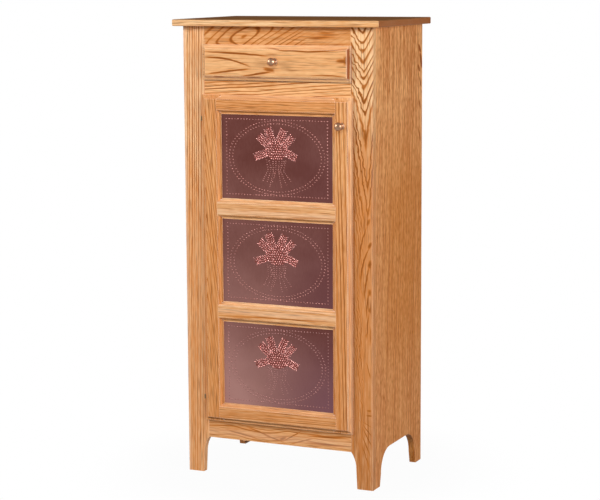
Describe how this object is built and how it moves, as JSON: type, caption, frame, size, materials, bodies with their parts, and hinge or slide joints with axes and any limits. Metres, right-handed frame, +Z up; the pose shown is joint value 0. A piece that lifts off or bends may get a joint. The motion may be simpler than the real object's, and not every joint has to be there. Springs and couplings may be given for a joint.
{
  "type": "pie safe",
  "caption": "Free-standing oak pie safe: narrow panelled cupboard on sawn feet, with a hinged door of punched copper panels, shelves inside and a dovetailed drawer above.",
  "frame": {"origin": "on the floor, at the middle of the whole piece's footprint", "axes": "+X to the right as seen from the front, +Y to the back, +Z up"},
  "size_m": [0.631, 0.424, 1.316],
  "materials": {
    "oak": "clear satin lacquer over open-pored golden oak",
    "plywood": "thin oak-faced plywood, lightly lacquered",
    "drawer_wood": "pale hardwood, clear finish",
    "copper": "dark antiqued copper sheet, satin",
    "antique_brass": "dark antique copper plating, polished on the crown",
    "hinge_metal": "antique brass plate",
    "steel": "plain zinc-plated steel",
    "catch_plastic": "brown moulded plastic"
  },
  "bodies": {
    "cabinet": {"top_board": "oak", "left_side": "oak", "right_side": "oak", "left_stile": "oak", "right_stile": "oak", "top_rail": "oak", "drawer_rail": "oak", "bottom_rail": "oak", "bottom_board": "oak", "back_panel": "plywood", "back_top_rail": "oak", "top_cleat_left": "oak", "top_cleat_right": "oak", "leg_blocks": "oak", "upper_shelf": "oak", "lower_shelf": "oak", "drawer_runner_left": "oak", "drawer_runner_right": "oak", "drawer_guide_left": "oak", "drawer_guide_right": "oak", "drawer_kicker_left": "oak", "drawer_kicker_right": "oak", "shelf_pins": "steel", "top_screws": "steel", "hinge_frame_screws": "hinge_metal", "upper_hinge_frame_leaf": "hinge_metal", "lower_hinge_frame_leaf": "hinge_metal", "upper_hinge_pin": "hinge_metal", "lower_hinge_pin": "hinge_metal", "magnet_catch": "catch_plastic"},
    "door": {"door_hinge_stile": "oak", "door_latch_stile": "oak", "door_top_rail": "oak", "door_upper_rail": "oak", "door_lower_rail": "oak", "door_bottom_rail": "oak", "upper_panel": "copper", "middle_panel": "copper", "lower_panel": "copper", "upper_panel_stops": "oak", "middle_panel_stops": "oak", "lower_panel_stops": "oak", "door_knob": "antique_brass", "door_knob_screw": "steel", "upper_hinge_door_leaf": "hinge_metal", "lower_hinge_door_leaf": "hinge_metal", "hinge_door_screws": "hinge_metal", "catch_plate": "steel"},
    "drawer": {"drawer_front": "oak", "drawer_box_front": "drawer_wood", "drawer_left_side": "drawer_wood", "drawer_right_side": "drawer_wood", "drawer_back": "drawer_wood", "drawer_bottom": "plywood", "drawer_stop": "oak", "drawer_knob": "antique_brass", "drawer_knob_screw": "steel", "drawer_front_screws": "steel"}
  },
  "joints": [
    {"name": "door_hinge", "type": "hinge", "parent": "cabinet", "child": "door", "pos_m": [-0.235, -0.1701, 0.631], "axis": [0, 0, -1], "range_deg": [0, 110]},
    {"name": "drawer_slide", "type": "slide", "parent": "cabinet", "child": "drawer", "axis": [0, -1, 0], "range_m": [0, 0.296]}
  ]
}
